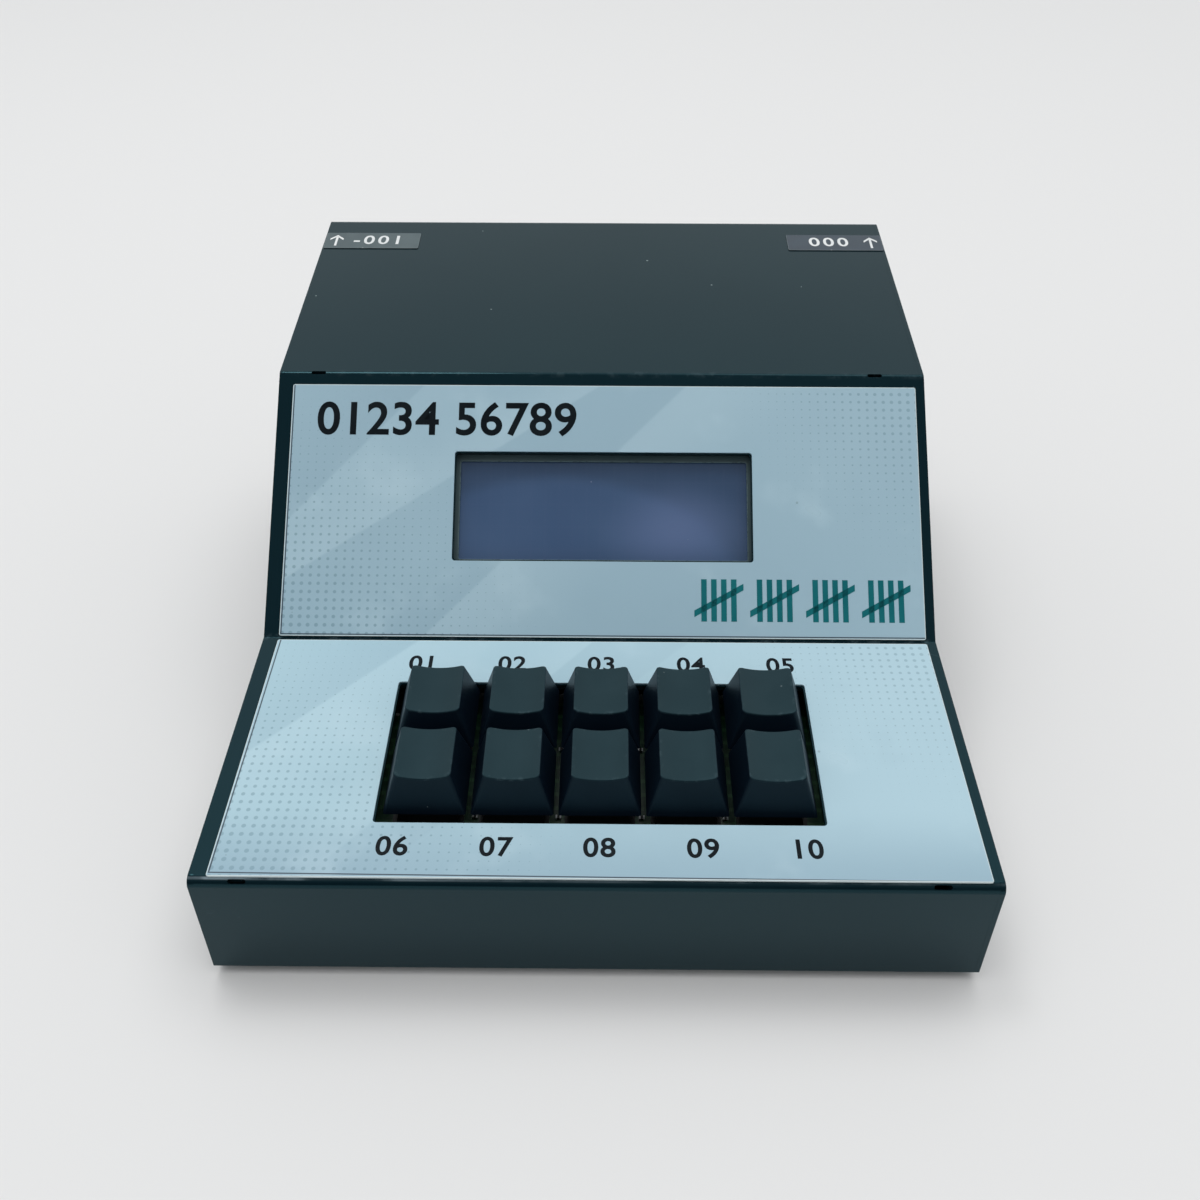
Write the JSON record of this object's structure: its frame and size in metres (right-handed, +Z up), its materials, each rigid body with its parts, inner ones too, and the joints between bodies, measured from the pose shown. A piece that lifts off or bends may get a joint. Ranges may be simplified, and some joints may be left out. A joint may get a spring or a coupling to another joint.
{
  "type": "differential cell counter",
  "caption": "Bench tally counter for blood cell counts: sloping sheet case, two rows of sprung keys, four-line display, rear push buttons, supply socket and rocker switch.",
  "frame": {"origin": "on the surface that the feet stand on, under the middle of the whole object's box", "axes": "+X to the user's right, +Y to the rear, +Z up; the front wall faces -Y"},
  "size_m": [0.1682, 0.2116, 0.0966],
  "materials": {
    "case_paint": "gloss black-slate paint with edge wear",
    "printed_sheet": "satin printed plastic sheet",
    "label": "satin printed label",
    "keycap_black": "semi-gloss, worn smooth on the dish",
    "stem_plastic": "moulded",
    "switch_plastic": "moulded",
    "button_cap": "moulded",
    "rubber": "matte",
    "steel": "zinc plated",
    "brass": "turned",
    "circuit_board": "solder mask on glass laminate",
    "bezel_black": "black lacquer",
    "display_glass": "polished, unlit blue display behind it",
    "light_guide": "white diffuser",
    "ribbon_grey": "PVC"
  },
  "bodies": {
    "case": {"top_cover": "case_paint", "left_cheek": "case_paint", "right_cheek": "case_paint", "rear_panel": "case_paint", "bottom_plate": "case_paint", "rubber_feet": "rubber", "foot_screws": "steel", "case_screws": "steel", "display_overlay": "printed_sheet", "key_overlay": "printed_sheet", "rear_labels": "label", "lcd_board": "circuit_board", "lcd_bezel": "bezel_black", "lcd_glass": "display_glass", "lcd_backlight": "light_guide", "lcd_standoffs": "brass", "key_board": "circuit_board", "key_standoffs": "brass", "board_screws": "steel", "switch_bases": "switch_plastic", "switch_tops": "switch_plastic", "switch_pins": "brass", "switch_springs": "steel", "main_board": "circuit_board", "board_posts": "brass", "controller_chip": "switch_plastic", "voltage_regulator": "steel", "buzzer": "switch_plastic", "display_ribbon": "ribbon_grey", "key_ribbon": "ribbon_grey", "ribbon_headers": "switch_plastic", "minus_button_body": "switch_plastic", "reset_button_body": "switch_plastic", "button_springs": "steel", "panel_nuts": "steel", "supply_socket": "switch_plastic", "power_switch_body": "switch_plastic"},
    "key_1": {"keycap_1": "keycap_black", "key_stem_1": "stem_plastic"},
    "key_2": {"keycap_2": "keycap_black", "key_stem_2": "stem_plastic"},
    "key_3": {"keycap_3": "keycap_black", "key_stem_3": "stem_plastic"},
    "key_4": {"keycap_4": "keycap_black", "key_stem_4": "stem_plastic"},
    "key_5": {"keycap_5": "keycap_black", "key_stem_5": "stem_plastic"},
    "key_6": {"keycap_6": "keycap_black", "key_stem_6": "stem_plastic"},
    "key_7": {"keycap_7": "keycap_black", "key_stem_7": "stem_plastic"},
    "key_8": {"keycap_8": "keycap_black", "key_stem_8": "stem_plastic"},
    "key_9": {"keycap_9": "keycap_black", "key_stem_9": "stem_plastic"},
    "key_10": {"keycap_10": "keycap_black", "key_stem_10": "stem_plastic"},
    "minus_button": {"minus_button_cap": "button_cap"},
    "reset_button": {"reset_button_cap": "button_cap"},
    "power_rocker": {"power_rocker": "switch_plastic"}
  },
  "joints": [
    {"name": "key_1_press", "type": "slide", "parent": "case", "child": "key_1", "axis": [0, 0.0837, -0.9965], "range_m": [0, 0.004], "stiffness_N_per_m": 80, "springref_m": -0.004, "deforming": ["switch_springs"]},
    {"name": "key_2_press", "type": "slide", "parent": "case", "child": "key_2", "axis": [0, 0.0837, -0.9965], "range_m": [0, 0.004], "stiffness_N_per_m": 80, "springref_m": -0.004},
    {"name": "key_3_press", "type": "slide", "parent": "case", "child": "key_3", "axis": [0, 0.0837, -0.9965], "range_m": [0, 0.004], "stiffness_N_per_m": 80, "springref_m": -0.004},
    {"name": "key_4_press", "type": "slide", "parent": "case", "child": "key_4", "axis": [0, 0.0837, -0.9965], "range_m": [0, 0.004], "stiffness_N_per_m": 80, "springref_m": -0.004},
    {"name": "key_5_press", "type": "slide", "parent": "case", "child": "key_5", "axis": [0, 0.0837, -0.9965], "range_m": [0, 0.004], "stiffness_N_per_m": 80, "springref_m": -0.004},
    {"name": "key_6_press", "type": "slide", "parent": "case", "child": "key_6", "axis": [0, 0.0837, -0.9965], "range_m": [0, 0.004], "stiffness_N_per_m": 80, "springref_m": -0.004},
    {"name": "key_7_press", "type": "slide", "parent": "case", "child": "key_7", "axis": [0, 0.0837, -0.9965], "range_m": [0, 0.004], "stiffness_N_per_m": 80, "springref_m": -0.004},
    {"name": "key_8_press", "type": "slide", "parent": "case", "child": "key_8", "axis": [0, 0.0837, -0.9965], "range_m": [0, 0.004], "stiffness_N_per_m": 80, "springref_m": -0.004},
    {"name": "key_9_press", "type": "slide", "parent": "case", "child": "key_9", "axis": [0, 0.0837, -0.9965], "range_m": [0, 0.004], "stiffness_N_per_m": 80, "springref_m": -0.004},
    {"name": "key_10_press", "type": "slide", "parent": "case", "child": "key_10", "axis": [0, 0.0837, -0.9965], "range_m": [0, 0.004], "stiffness_N_per_m": 80, "springref_m": -0.004},
    {"name": "minus_button_press", "type": "slide", "parent": "case", "child": "minus_button", "axis": [0, -1, 0], "range_m": [0, 0.002], "stiffness_N_per_m": 400, "springref_m": -0.002, "deforming": ["button_springs"]},
    {"name": "reset_button_press", "type": "slide", "parent": "case", "child": "reset_button", "axis": [0, -1, 0], "range_m": [0, 0.002], "stiffness_N_per_m": 400, "springref_m": -0.002},
    {"name": "power_rocker_tip", "type": "hinge", "parent": "case", "child": "power_rocker", "pos_m": [0.042, 0.09646, 0.029], "axis": [1, 0, 0], "range_deg": [0, 20]}
  ]
}
